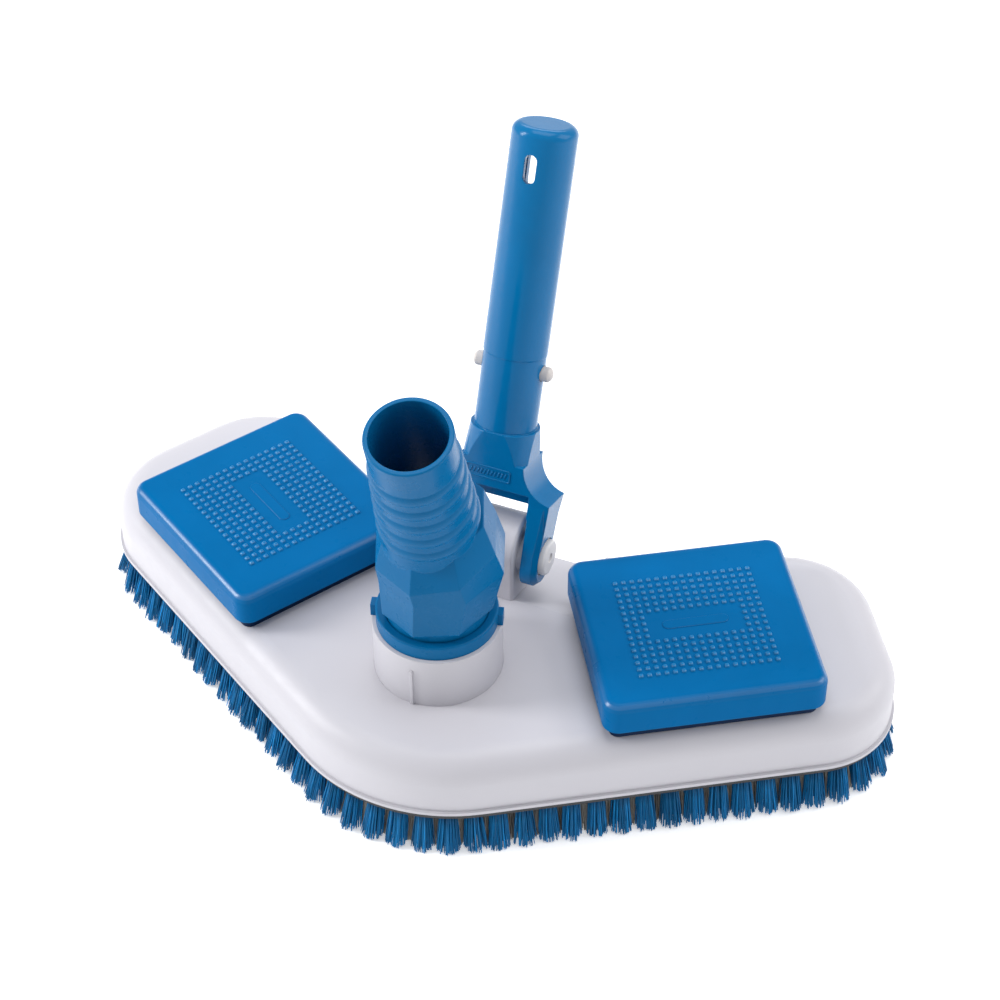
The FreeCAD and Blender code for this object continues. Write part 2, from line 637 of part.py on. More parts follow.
def clip_spring():
    """V-shaped strip: the bend sits on the tube's floor, an upright tab stands behind each button."""
    t = 0.8
    tab = 8.6
    knee_z = BUTTON_Z - 6.0
    tip_z = BUTTON_Z + 6.0
    foot_z = TUBE_FLOOR_Z
    outer = [V(0, 0, foot_z), V(1.6, 0, foot_z), V(tab + t, 0, knee_z), V(tab + t, 0, tip_z)]
    inner = [V(tab, 0, tip_z), V(tab, 0, knee_z + 0.2), V(1.3, 0, foot_z + t), V(0, 0, foot_z + t)]
    half = Part.Face(Part.makePolygon(outer + inner + [outer[0]])).extrude(V(0, 6, 0))
    half.translate(V(0, -3, 0))
    return half.fuse(half.mirror(V(0, 0, 0), V(1, 0, 0))).removeSplitter()


def snap_button(side):
    dome_r = 4.0
    shank = Part.makeCylinder(BUTTON_R, BUTTON_FACE - 10.2, V(side * 10.2, 0, BUTTON_Z), V(side, 0, 0))
    ball = Part.makeSphere(dome_r, V(side * (BUTTON_FACE - dome_r), 0, BUTTON_Z))
    cap = shank.common(ball.fuse(Part.makeCylinder(6.0, 6.0, V(side * 8.0, 0, BUTTON_Z), V(side, 0, 0))))
    flange = Part.makeCylinder(4.4, 0.8, V(side * 9.4, 0, BUTTON_Z), V(side, 0, 0))
    return flange.fuse(cap).removeSplitter()


# ---- writing ----
def nodes():
    made = {"body_shell": body_shell(), "shell_collar": shell_collar(), "handle_bracket": handle_bracket(),
            "bristle_frame": bristle_frame(), "frame_screws": frame_screws(),
            "collar_ring": collar_ring(), "swivel_seal": swivel_seal(), "hose_swivel": hose_swivel(),
            "pole_handle": lean(pole_handle()), "clip_spring": lean(clip_spring())}
    made.update(bristles())
    for side, hand in ((1, "right"), (-1, "left")):
        made["weight_cover_" + hand] = place_on_wing(weight_cover(), side)
        made["weight_tray_" + hand] = place_on_wing(weight_tray(), side)
        made["ballast_" + hand] = place_on_wing(ballast(), side)
        made["cover_screws_" + hand] = cover_screws(side)
        made["pivot_pin_" + hand] = pivot_pin(side)
        made["snap_button_" + hand] = lean(snap_button(side))
    return made


os.makedirs("parts", exist_ok=True)
for name, shape in nodes().items():
    shape.translate(V(0, -ORIGIN_Y, 0))
    shape.exportStep("parts/" + name + ".step")
    box = shape.BoundBox
    print(name, "valid" if shape.isValid() else "INVALID", len(shape.Solids),
          [round(c, 2) for c in (box.XMin, box.XMax, box.YMin, box.YMax, box.ZMin, box.ZMax)])
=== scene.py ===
import bpy
import bmesh
import json
import math
import random
from mathutils import Matrix, Vector
from mathutils.bvhtree import BVHTree


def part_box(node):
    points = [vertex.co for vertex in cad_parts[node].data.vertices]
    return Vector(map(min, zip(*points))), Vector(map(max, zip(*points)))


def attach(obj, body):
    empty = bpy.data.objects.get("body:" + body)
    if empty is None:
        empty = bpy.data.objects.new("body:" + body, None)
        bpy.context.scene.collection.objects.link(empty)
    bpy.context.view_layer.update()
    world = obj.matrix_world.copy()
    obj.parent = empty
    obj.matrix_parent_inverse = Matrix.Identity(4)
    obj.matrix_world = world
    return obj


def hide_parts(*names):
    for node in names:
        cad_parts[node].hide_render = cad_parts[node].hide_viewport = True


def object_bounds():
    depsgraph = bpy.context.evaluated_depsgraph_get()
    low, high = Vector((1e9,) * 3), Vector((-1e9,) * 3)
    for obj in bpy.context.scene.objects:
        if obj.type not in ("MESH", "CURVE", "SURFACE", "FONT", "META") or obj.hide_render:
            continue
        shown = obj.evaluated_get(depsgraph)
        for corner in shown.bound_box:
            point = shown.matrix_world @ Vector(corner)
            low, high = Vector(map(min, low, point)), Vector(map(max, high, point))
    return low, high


# Pool vacuum head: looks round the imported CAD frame. Metres; +Z up, nose towards -Y.

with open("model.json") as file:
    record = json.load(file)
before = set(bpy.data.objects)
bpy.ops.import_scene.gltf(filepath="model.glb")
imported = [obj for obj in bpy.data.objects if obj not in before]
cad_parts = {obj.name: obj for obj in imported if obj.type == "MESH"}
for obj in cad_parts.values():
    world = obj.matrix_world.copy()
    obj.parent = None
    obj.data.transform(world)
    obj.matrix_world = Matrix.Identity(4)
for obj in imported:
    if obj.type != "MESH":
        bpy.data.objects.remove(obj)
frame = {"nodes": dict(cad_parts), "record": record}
CAD_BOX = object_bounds()
NODES = frame["nodes"]
MM = 0.001

# ---- places read from the frame ----
SEAL_LOW, SEAL_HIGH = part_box("swivel_seal")
COLLAR = Vector(((SEAL_LOW.x + SEAL_HIGH.x) / 2, (SEAL_LOW.y + SEAL_HIGH.y) / 2, 0))
SWEEP = math.radians(31.66)          # each wing's sweep
LEAN = math.radians(20)              # the handle's lean

# ---- nub grid on the weight covers ----
NUB_COLUMNS = 17
NUB_ROWS = 16
NUB_PITCH_U = 3.72 * MM
NUB_PITCH_V = 3.75 * MM
NUB_SHIFT = Vector((-0.3 * MM, -1.2 * MM))
NUB_R = 1.22 * MM
NUB_H = 1.15 * MM
WINDOW_COLUMNS = (3, 13)             # first and last column of the plain window
WINDOW_ROWS = (6, 9)
NUB_SIDES = 12
PLATE_HALF = 12.0 * MM               # half the straight side of the raised plate in the window
PLATE_R = 2.6 * MM
PLATE_H = 0.35 * MM

# ---- filaments ----
OUTER_FILAMENTS = 150                # in each tuft of the outer row
INNER_FILAMENTS = 100                # in each tuft of the second row
FILAMENT_R = 0.31 * MM
FILAMENT_R_RANGE = (0.8, 1.15)       # a filament's thickness, against FILAMENT_R
FILAMENT_TAPER = 0.25                # share of the thickness lost by the tip
FILAMENT_SIDES = 3
FILAMENT_RINGS = (0.0, 0.3, 0.62, 1.0)
FILAMENT_BOW = 0.45 * MM             # most sideways bow at mid length
ROOT_FILL = 0.97                     # filaments' reach at the root, against the CAD tuft's radius
ROOT_DEPTH = 0.3 * MM                # how far the roots stand up into the frame
TIP_SPREAD = 1.2                     # filaments' reach at the tip, against the CAD tuft's radius
TIP_SCATTER = 0.5 * MM
INNER_REACH = 1.9                    # outward lean of the second row's tips, against the CAD tuft's
CUT_SPREAD = 0.5 * MM                # unevenness of the filaments' ends
SHORTEST_CUT = 0.12 * MM             # least height of a filament's end above the floor
TALLEST_CUT = 4.0 * MM
BOX_MARGIN = 0.3 * MM                # least distance of a filament's end from the CAD box
SHADE_MIDDLE = 0.5
SHADE_SPREAD = 0.17                  # from filament to filament

# ---- tufts ----
CLUMP_COUNTS = (6, 7, 8)
CLUMP_REACH = 0.95                   # clumps' distance from the middle, against the tip radius
CLUMP_PULL = (0.08, 0.3)             # how far filaments are drawn into their clump
TUFT_DRIFT = 0.7 * MM                # most sideways shift of a whole tuft's tips
TUFT_TRIM = 0.9 * MM                 # most that a whole tuft is cut short
TUFT_SLANT = 0.25                    # steepest slope of a tuft's cut
TUFT_TONE = 0.1                      # most difference in shade from tuft to tuft

# ---- panel on the fork's front and marks on the bracket ----
PANEL_AT = (-1.0 * MM, 38.0 * MM)    # across and up, in the handle's frame
PANEL_LENGTH = 21.0 * MM
PANEL_WIDTH = 6.2 * MM
PANEL_H = 0.4 * MM
PANEL_CORNER = 1.2 * MM
PANEL_BARS = 11
PANEL_PITCH = 1.6 * MM
BAR_LENGTH = 2.6 * MM
BAR_WIDTH = 0.75 * MM
BAR_LEAN = 0.35
BAR_H = PANEL_H * 0.8
MARK_X = 9.5 * MM
MARK_Z = 27.0 * MM
MARK_SIDES = 20
MARK_RINGS = ((1.5, 0.0), (1.42, 0.1), (1.2, 0.1), (1.1, 0.02))    # reach and rise, millimetres
RAY_START = 0.05                     # how far in front of a surface a ray starts

# ---- camera ----
CAMERA_FROM_COLLAR = Vector((0.31286, -0.67852, 0.83113))
CAMERA_AZIMUTH = math.radians(22.656)
CAMERA_ELEVATION = math.radians(42.538)
CAMERA_ROLL = math.radians(-0.473)
LENS = 88.57

# ---- light and floor ----
LIGHTS = {                           # place and target from the collar, size, watts
    "key": ((-1.2, -0.42, 0.75), (0, 0, 0.08), (0.35, 0.9), 13.8),
    "top": ((0.0, 0.3, 1.7), (0, 0, 0.05), (1.3, 1.1), 13.0),
    "fill": ((1.1, 0.55, 0.9), (0, 0, 0.05), (0.9, 0.9), 7.0),
    "rear": ((-0.4, 1.3, 0.9), (0, 0, 0.08), (0.9, 0.5), 4.0),
}
WORLD_COLOUR = (0.97, 0.98, 1.0, 1)
WORLD_STRENGTH = 0.52
FLOOR_HALF = 6.0
FLOOR_GLOW = 0.4

# ---- surface detail: noise scales and edge widths ----
FLOW_SCALE = 28.0                    # flow marks in moulded plastic
GLOSS_SCALE = 160.0                  # patches of uneven gloss
WAVE_SCALE = 45.0                    # long waves
PEEL_SCALE = 950.0                   # orange peel
WEAR_AND_HIGHLIGHT_R = 0.5 * MM                    # width of the paler edges, partly wear and partly a painted highlight
EDGE_DOTS = (0.86, 0.995)            # softened normal against true normal: full edge, then flat
ROOT_SHADE_Z = (13.0 * MM, 20.0 * MM)    # heights between which filaments darken: painted shade at the roots


# ================= small helpers =================
def add_mesh(name, vertices, faces, smooth=True):
    mesh = bpy.data.meshes.new(name)
    mesh.from_pydata([tuple(v) for v in vertices], [], faces)
    mesh.update()
    if smooth:
        mesh.polygons.foreach_set("use_smooth", [True] * len(mesh.polygons))
    obj = bpy.data.objects.new(name, mesh)
    bpy.context.scene.collection.objects.link(obj)
    return obj


def skin_rings(faces, base, count, rings):
    """Quads between successive rings of count points, the first of them at vertex base."""
    for i in range(rings - 1):
        for k in range(count):
            a = base + i * count + k
            b = base + i * count + (k + 1) % count
            faces.append((a, b, b + count, a + count))


def close_ring(faces, first, count, apex):
    """Triangles from a ring of count points to one apex."""
    for k in range(count):
        faces.append((first + k, first + (k + 1) % count, apex))


def finish_piece(obj, material, body):
    obj.data.materials.append(material)
    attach(obj, body)
    return obj


# ================= camera =================
def make_camera():
    sin_a, cos_a = math.sin(CAMERA_AZIMUTH), math.cos(CAMERA_AZIMUTH)
    sin_e, cos_e = math.sin(CAMERA_ELEVATION), math.cos(CAMERA_ELEVATION)
    back = Vector((sin_a * cos_e, -cos_a * cos_e, sin_e))
    right = Vector((0, 0, 1)).cross(back).normalized()
    up = back.cross(right)
    sin_r, cos_r = math.sin(CAMERA_ROLL), math.cos(CAMERA_ROLL)
    right, up = right * cos_r + up * sin_r, up * cos_r - right * sin_r
    data = bpy.data.cameras.new("camera")
    data.lens = LENS
    data.sensor_width = 36
    data.clip_end = 30
    camera = bpy.data.objects.new("camera", data)
    camera.matrix_world = Matrix((right, up, back)).transposed().to_4x4()
    camera.location = COLLAR + CAMERA_FROM_COLLAR
    bpy.context.scene.collection.objects.link(camera)
    bpy.context.scene.camera = camera


# ================= materials =================
class Nodes:
    """A material's node tree, with short calls to add and link nodes."""

    def __init__(self, name):
        self.material = bpy.data.materials.new(name)
        self.material.use_nodes = True
        self.tree = self.material.node_tree
        self.shader = self.tree.nodes["Principled BSDF"]
        coordinates = self.tree.nodes.new("ShaderNodeTexCoord")
        self.place = coordinates.outputs["Object"]

    def add(self, kind, **values):
        node = self.tree.nodes.new(kind)
        for key, value in values.items():
            setattr(node, key, value)
        return node

    def link(self, source, target):
        self.tree.links.new(source, target)

    def noise(self, scale, detail=3.0, roughness=0.5, distortion=0.0):
        node = self.add("ShaderNodeTexNoise")
        node.inputs["Scale"].default_value = scale
        node.inputs["Detail"].default_value = detail
        node.inputs["Roughness"].default_value = roughness
        node.inputs["Distortion"].default_value = distortion
        self.link(self.place, node.inputs["Vector"])
        return node.outputs["Fac"]

    def ramp(self, source, stops):
        node = self.add("ShaderNodeValToRGB")
        ends = node.color_ramp.elements
        ends[0].position, ends[1].position = stops[0][0], stops[-1][0]
        ends[0].color, ends[1].color = (*stops[0][1], 1), (*stops[-1][1], 1)
        for position, colour in stops[1:-1]:
            ends.new(position).color = (*colour, 1)
        self.link(source, node.inputs["Fac"])
        return node.outputs["Color"]

    def spread(self, source, low, high, start=0.3, stop=0.7):
        """The source's middle range, stretched over low to high."""
        node = self.add("ShaderNodeMapRange")
        node.inputs["From Min"].default_value = start
        node.inputs["From Max"].default_value = stop
        node.inputs["To Min"].default_value = low
        node.inputs["To Max"].default_value = high
        self.link(source, node.inputs["Value"])
        return node.outputs["Result"]

    def mix(self, amount, first, second):
        node = self.add("ShaderNodeMix", data_type="RGBA")
        self.link(amount, node.inputs["Factor"])
        self.link(first, node.inputs[6])
        self.link(second, node.inputs[7])
        return node.outputs[2]

    def bump(self, height, strength, distance, normal=None):
        node = self.add("ShaderNodeBump")
        node.inputs["Strength"].default_value = strength
        node.inputs["Distance"].default_value = distance
        self.link(height, node.inputs["Height"])
        if normal is not None:
            self.link(normal, node.inputs["Normal"])
        return node.outputs["Normal"]

    def soft_edges(self, radius):
        node = self.add("ShaderNodeBevel", samples=8)
        node.inputs["Radius"].default_value = radius
        return node.outputs["Normal"]

    def edge_mask(self, radius):
        """Near 1 along sharp edges and 0 on flats."""
        rounded = self.soft_edges(radius)
        geometry = self.add("ShaderNodeNewGeometry")
        dot = self.add("ShaderNodeVectorMath", operation="DOT_PRODUCT")
        self.link(rounded, dot.inputs[0])
        self.link(geometry.outputs["Normal"], dot.inputs[1])
        return self.spread(dot.outputs["Value"], 1.0, 0.0, *EDGE_DOTS)


def scaled(colour, factor):
    return tuple(min(1.0, c * factor) for c in colour)


def moulded_plastic(name, colour, gloss=0.3, grain=0.05, edge=0.7, mottle=0.05, bright_edge=1.2, shine=0.5,
                    bend_shine=None):
    """Injection-moulded plastic: faint flow marks, fine orange peel, softened edges painted slightly paler,
    partly as wear and partly as a painted highlight.

    edge is the softened edges' radius in millimetres. With bend_shine the plastic is dull on flats and
    polished where the surface bends over.
    """
    m = Nodes(name)
    flow = m.noise(FLOW_SCALE, 4.0, 0.55, 0.6)
    tint = m.ramp(flow, [(0.3, scaled(colour, 1 - mottle)), (0.7, scaled(colour, 1 + mottle))])
    # painted highlight and wear: edges paler than the flat faces
    wear_and_highlight = m.edge_mask(WEAR_AND_HIGHLIGHT_R)
    lit = m.ramp(flow, [(0.3, scaled(colour, bright_edge)), (0.7, scaled(colour, bright_edge * 1.04))])
    m.link(m.mix(wear_and_highlight, tint, lit), m.shader.inputs["Base Color"])
    m.link(m.spread(m.noise(GLOSS_SCALE, 5.0), gloss - 0.04, gloss + 0.06), m.shader.inputs["Roughness"])
    soft = m.soft_edges(edge * MM)
    waves = m.bump(m.noise(WAVE_SCALE, 2.0), grain, 0.8 * MM, soft)
    m.link(m.bump(m.noise(PEEL_SCALE, 2.0), grain, 0.1 * MM, waves), m.shader.inputs["Normal"])
    m.shader.inputs["IOR"].default_value = 1.5
    if bend_shine is None:
        m.shader.inputs["Specular IOR Level"].default_value = shine
        return m.material
    parts = m.add("ShaderNodeSeparateXYZ")
    m.link(m.add("ShaderNodeNewGeometry").outputs["Normal"], parts.inputs["Vector"])
    stops = [(position, (share * bend_shine,) * 3) for position, share in BEND_SHARES]
    m.link(m.ramp(parts.outputs["Z"], stops), m.shader.inputs["Specular IOR Level"])
    return m.material


def filament_nylon(name, colour):
    """Nylon filaments: shade varies from filament to filament, and painted shade darkens them towards the
    roots.
    """
    m = Nodes(name)
    shade = m.add("ShaderNodeAttribute", attribute_name="shade").outputs["Fac"]
    tint = m.ramp(shade, [(0.0, scaled(colour, 0.5)), (0.55, colour), (1.0, scaled(colour, 2.1))])
    depth = m.add("ShaderNodeSeparateXYZ")
    m.link(m.place, depth.inputs["Vector"])
    height = m.spread(depth.outputs["Z"], 0.0, 1.0, *ROOT_SHADE_Z)
    # painted shade: filaments darker near the frame
    root = m.ramp(shade, [(0.0, scaled(colour, 0.2)), (1.0, scaled(colour, 0.45))])
    m.link(m.mix(height, tint, root), m.shader.inputs["Base Color"])
    m.link(m.spread(m.noise(900.0, 2.0), 0.34, 0.5), m.shader.inputs["Roughness"])
    m.link(m.bump(m.noise(3500.0, 2.0), 0.15, 0.06 * MM), m.shader.inputs["Normal"])
    m.shader.inputs["Specular IOR Level"].default_value = 0.2
    return m.material


def brushed_metal(name, colour, roughness):
    m = Nodes(name)
    stretch = m.add("ShaderNodeMapping")
    stretch.inputs["Scale"].default_value = (400, 400, 4000)
    m.link(m.place, stretch.inputs["Vector"])
    lines = m.add("ShaderNodeTexNoise")
    lines.inputs["Scale"].default_value = 3.0
    m.link(stretch.outputs["Vector"], lines.inputs["Vector"])
    tint = m.ramp(lines.outputs["Fac"], [(0.3, scaled(colour, 0.8)), (0.7, colour)])
    m.link(tint, m.shader.inputs["Base Color"])
    m.link(m.spread(lines.outputs["Fac"], roughness - 0.1, roughness + 0.12), m.shader.inputs["Roughness"])
    m.link(m.bump(lines.outputs["Fac"], 0.2, 0.05 * MM, m.soft_edges(0.25 * MM)), m.shader.inputs["Normal"])
    m.shader.inputs["Metallic"].default_value = 1.0
    return m.material


def rough_solid(name, colour, scale, depth, roughness):
    """Cast iron or moulded rubber: pitted surface and uneven tone."""
    m = Nodes(name)
    pits = m.noise(scale, 6.0, 0.65)
    tint = m.ramp(pits, [(0.3, scaled(colour, 0.6)), (0.7, scaled(colour, 1.3))])
    m.link(tint, m.shader.inputs["Base Color"])
    m.link(m.spread(pits, roughness - 0.1, roughness + 0.1), m.shader.inputs["Roughness"])
    m.link(m.bump(pits, 0.5, depth, m.soft_edges(0.4 * MM)), m.shader.inputs["Normal"])
    return m.material


SHELL_WHITE = (0.55, 0.54, 0.58)
COVER_BLUE = (0.0003, 0.122, 0.33)
# paler than the covers: painted highlight on the nubs
NUB_HIGHLIGHT_BLUE = (0.012, 0.185, 0.43)
SWIVEL_BLUE = (0.0005, 0.122, 0.305)
HANDLE_BLUE = (0.0005, 0.14, 0.345)
BRISTLE_BLUE = (0.003, 0.15, 0.37)
BRISTLE_GREY = (0.28, 0.265, 0.245)
# near black: painted shade for the gaps between tufts and the line under the rim
FRAME_SHADE_DARK = (0.018, 0.02, 0.024)
# very dark: painted shade for the shadow line under the weight covers
TRAY_SHADE_NAVY = (0.001, 0.012, 0.045)
PIN_WHITE = (0.70, 0.68, 0.68)
BUTTON_WHITE = (0.60, 0.56, 0.54)
# share of the full shine, by how level the surface lies (0 upright, 1 level)
BEND_SHARES = ((0.1, 0.03), (0.5, 0.2), (0.64, 1.0), (0.8, 1.0), (0.9, 0.2), (0.985, 0.03))

PLASTICS = {
    "shell_plastic": dict(colour=SHELL_WHITE, gloss=0.4, grain=0.02, edge=0.6, mottle=0.006,
                          bright_edge=1.02, shine=0.4),
    "frame_plastic": dict(colour=FRAME_SHADE_DARK, gloss=0.5, grain=0.12, edge=0.4, mottle=0.12),
    "cover_plastic": dict(colour=COVER_BLUE, grain=0.04, edge=0.9, bend_shine=0.75),
    "nub_plastic": dict(colour=NUB_HIGHLIGHT_BLUE, grain=0.04, edge=0.9, bend_shine=1.0),
    "tray_plastic": dict(colour=TRAY_SHADE_NAVY, gloss=0.5, grain=0.1, edge=0.5, mottle=0.1, shine=0.1),
    "pin_plastic": dict(colour=PIN_WHITE, gloss=0.38, grain=0.03, edge=0.5, mottle=0.03,
                        bright_edge=1.06),
    "ring_plastic": dict(colour=SWIVEL_BLUE, grain=0.03, edge=0.5, bright_edge=1.35, shine=0.12),
    "swivel_plastic": dict(colour=SWIVEL_BLUE, gloss=0.28, grain=0.03, edge=0.8, shine=0.14),
    "handle_plastic": dict(colour=HANDLE_BLUE, gloss=0.17, grain=0.03, edge=0.7, shine=0.22),
    "button_plastic": dict(colour=BUTTON_WHITE, grain=0.03, edge=0.4, mottle=0.03, bright_edge=1.05),
}
MATERIALS = {name: moulded_plastic(name, **values) for name, values in PLASTICS.items()}
MATERIALS["bristle"] = filament_nylon("bristle", BRISTLE_BLUE)
MATERIALS["bristle_grey"] = filament_nylon("bristle_grey", BRISTLE_GREY)
MATERIALS["screw_steel"] = brushed_metal("screw_steel", (0.62, 0.62, 0.63), 0.32)
MATERIALS["spring_steel"] = brushed_metal("spring_steel", (0.55, 0.55, 0.57), 0.28)
MATERIALS["ballast_iron"] = rough_solid("ballast_iron", (0.09, 0.09, 0.095), 900.0, 0.4 * MM, 0.7)
MATERIALS["seal_rubber"] = rough_solid("seal_rubber", (0.02, 0.02, 0.022), 2200.0, 0.08 * MM, 0.6)


def dress_cad():
    """Every CAD node takes the material of its slot."""
    for part in frame["record"]["subparts"]:
        node = NODES[part["node"]]
        node.data.materials.clear()
        node.data.materials.append(MATERIALS[part["material_slot"]])
        for polygon in node.data.polygons:
            polygon.material_index = 0


# ================= bristles =================
def tufts(node):
    """(root centre, tip centre, root radius, tip radius) of each tuft in a CAD bristle node."""
    bm = bmesh.new()
    bm.from_mesh(NODES[node].data)
    bmesh.ops.remove_doubles(bm, verts=bm.verts, dist=1e-6)
    left = set(bm.verts)
    found = []
    while left:
        island = set()
        queue = [left.pop()]
        while queue:
            vertex = queue.pop()
            island.add(vertex)
            for edge in vertex.link_edges:
                other = edge.other_vert(vertex)
                if other in left:
                    left.discard(other)
                    queue.append(other)
        top = max(v.co.z for v in island)
        bottom = min(v.co.z for v in island)
        rings = []
        for level in (top, bottom):
            ring = [v.co for v in island if abs(v.co.z - level) < 1e-5]
            low = Vector((min(c.x for c in ring), min(c.y for c in ring), level))
            high = Vector((max(c.x for c in ring), max(c.y for c in ring), level))
            rings.append(((low + high) / 2, (high.x - low.x + high.y - low.y) / 4))
        found.append((rings[0][0], rings[1][0], rings[0][1], rings[1][1]))
    bm.free()
    return sorted(found, key=lambda t: (round(t[0].x, 4), round(t[0].y, 4)))


def disc_point(rng, radius):
    angle = rng.uniform(0, 2 * math.pi)
    reach = radius * math.sqrt(rng.random())
    return Vector((reach * math.cos(angle), reach * math.sin(angle), 0))


def kept_in(offset, radius):
    """The offset, no longer than radius."""
    return offset if offset.length <= radius else offset * (radius / offset.length)


def kept_in_box(point):
    """The point, at least BOX_MARGIN inside the CAD box's sides."""
    low, high = CAD_BOX
    return Vector((min(max(point.x, low[0] + BOX_MARGIN), high[0] - BOX_MARGIN),
                   min(max(point.y, low[1] + BOX_MARGIN), high[1] - BOX_MARGIN),
                   point.z))


def add_filament(vertices, faces, shades, path, radius, shade):
    base = len(vertices)
    along = (path[-1] - path[0]).normalized()
    across = along.cross(Vector((0.31, 0.95, 0))).normalized()
    other = along.cross(across)
    for i, point in enumerate(path):
        r = radius * (1 - FILAMENT_TAPER * i / (len(path) - 1))
        for k in range(FILAMENT_SIDES):
            a = 2 * math.pi * k / FILAMENT_SIDES
            vertices.append(point + across * (r * math.cos(a)) + other * (r * math.sin(a)))
            shades.append(shade)
    skin_rings(faces, base, FILAMENT_SIDES, len(path))
    last = base + (len(path) - 1) * FILAMENT_SIDES
    faces.append((last, last + 1, last + 2))


def make_tuft(rng, count, tuft, reach, vertices, faces, shades):
    """One tuft: filaments in loose clumps that lean, part a little and end at uneven lengths."""
    root, tip, root_r, tip_r = tuft
    tip = root + (tip - root) * reach
    clumps = [disc_point(rng, tip_r * CLUMP_REACH) for _ in range(rng.choice(CLUMP_COUNTS))]
    drift = disc_point(rng, TUFT_DRIFT)
    draw = rng.uniform(*CLUMP_PULL)
    trim = rng.uniform(0.0, TUFT_TRIM)
    slant = disc_point(rng, TUFT_SLANT)
    tone = rng.uniform(-TUFT_TONE, TUFT_TONE)
    for _ in range(count):
        start = disc_point(rng, root_r * ROOT_FILL)
        free = start * (tip_r * TIP_SPREAD / root_r) + drift
        clump = min(clumps, key=lambda c: (c - free).length)
        end = kept_in(free.lerp(clump, draw) + disc_point(rng, TIP_SCATTER), tip_r * TIP_SPREAD)
        height = trim + abs(rng.gauss(0, CUT_SPREAD)) + max(0.0, end.dot(slant))
        height = max(SHORTEST_CUT, min(height, TALLEST_CUT))
        a = root + start + Vector((0, 0, ROOT_DEPTH))
        b = kept_in_box(tip + end)
        b.z = height
        bow = disc_point(rng, FILAMENT_BOW)
        path = [a.lerp(b, t) + bow * math.sin(math.pi * t) for t in FILAMENT_RINGS]
        shade = min(1.0, max(0.0, rng.gauss(SHADE_MIDDLE + tone, SHADE_SPREAD)))
        radius = FILAMENT_R * rng.uniform(*FILAMENT_R_RANGE)
        add_filament(vertices, faces, shades, path, radius, shade)


def make_bristles():
    for node in sorted(n for n in NODES if n.startswith("bristles_")):
        rng = random.Random("tufts of " + node)
        inner = node == "bristles_inner"
        count = INNER_FILAMENTS if inner else OUTER_FILAMENTS
        reach = INNER_REACH if inner else 1.0
        vertices, faces, shades = [], [], []
        for tuft in tufts(node):
            make_tuft(rng, count, tuft, reach, vertices, faces, shades)
        piece = add_mesh(node.replace("bristles", "filaments"), vertices, faces)
        layer = piece.data.attributes.new("shade", "FLOAT", "POINT")
        layer.data.foreach_set("value", shades)
        slot = "bristle_grey" if inner else "bristle"
        finish_piece(piece, MATERIALS[slot], "head")
        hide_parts(node)


# ================= weight covers =================
def on_cover(side):
    """The cover's own frame: X along the wing, Y across it, Z up from its top face."""
    low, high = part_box("weight_cover_right" if side > 0 else "weight_cover_left")
    middle = (low + high) / 2
    turn = Matrix.Rotation(side * SWEEP, 4, "Z")
    return Matrix.Translation((middle.x, middle.y, high.z)) @ turn


def add_nub(vertices, faces, centre, radius, height):
    """A low square-based dome with softened corners."""
    rings = ((1.0, -0.05), (0.93, 0.3), (0.7, 0.72), (0.36, 0.95))
    base = len(vertices)
    for reach, rise in rings:
        for k in range(NUB_SIDES):
            a = 2 * math.pi * (k + 0.5) / NUB_SIDES
            squareness = 1 / max(abs(math.cos(a)), abs(math.sin(a))) ** (0.75 * reach)
            r = radius * reach * squareness * 0.93
            vertices.append(centre + Vector((r * math.cos(a), r * math.sin(a), height * rise)))
    vertices.append(centre + Vector((0, 0, height)))
    skin_rings(faces, base, NUB_SIDES, len(rings))
    close_ring(faces, base + (len(rings) - 1) * NUB_SIDES, NUB_SIDES, len(vertices) - 1)


def make_nubs(side, hand):
    vertices, faces = [], []
    for column in range(NUB_COLUMNS):
        for row in range(NUB_ROWS):
            in_window = (WINDOW_COLUMNS[0] <= column <= WINDOW_COLUMNS[1]
                         and WINDOW_ROWS[0] <= row <= WINDOW_ROWS[1])
            if in_window:
                continue
            u = (column - (NUB_COLUMNS - 1) / 2) * NUB_PITCH_U + NUB_SHIFT.x
            v = (row - (NUB_ROWS - 1) / 2) * NUB_PITCH_V + NUB_SHIFT.y
            add_nub(vertices, faces, Vector((side * u, v, 0)), NUB_R, NUB_H)
    piece = add_mesh("grip_nubs_" + hand, vertices, faces)
    piece.matrix_world = on_cover(side)
    finish_piece(piece, MATERIALS["nub_plastic"], "head")


def stadium(half_length, radius, height, steps=14):
    """A ring of points round a stadium outline at a height."""
    points = []
    for end, first in ((half_length, -math.pi / 2), (-half_length, math.pi / 2)):
        for k in range(steps):
            a = first + math.pi * k / (steps - 1)
            points.append(Vector((end + radius * math.cos(a), radius * math.sin(a), height)))
    return points


def stadium_plate(name, half_length, radius, height):
    """A low raised plate with a rounded rim."""
    profile = ((0.0, -0.1), (0.0, 0.5), (0.12, 0.85), (0.3, 1.0))
    rings = [stadium(half_length, radius - inset * height * 2, rise * height) for inset, rise in profile]
    count = len(rings[0])
    vertices = [p for ring in rings for p in ring]
    faces = []
    skin_rings(faces, 0, count, len(rings))
    faces.append(tuple(range((len(rings) - 1) * count, len(rings) * count)))
    return add_mesh(name, vertices, faces, smooth=False)


def make_cover_plate(side, hand):
    """Plain raised plate in the nubs' window."""
    middle = Vector((side * NUB_SHIFT.x, NUB_SHIFT.y, 0))
    plate = stadium_plate("cover_plate_" + hand, PLATE_HALF, PLATE_R, PLATE_H)
    plate.matrix_world = on_cover(side) @ Matrix.Translation(middle)
    finish_piece(plate, MATERIALS["cover_plastic"], "head")


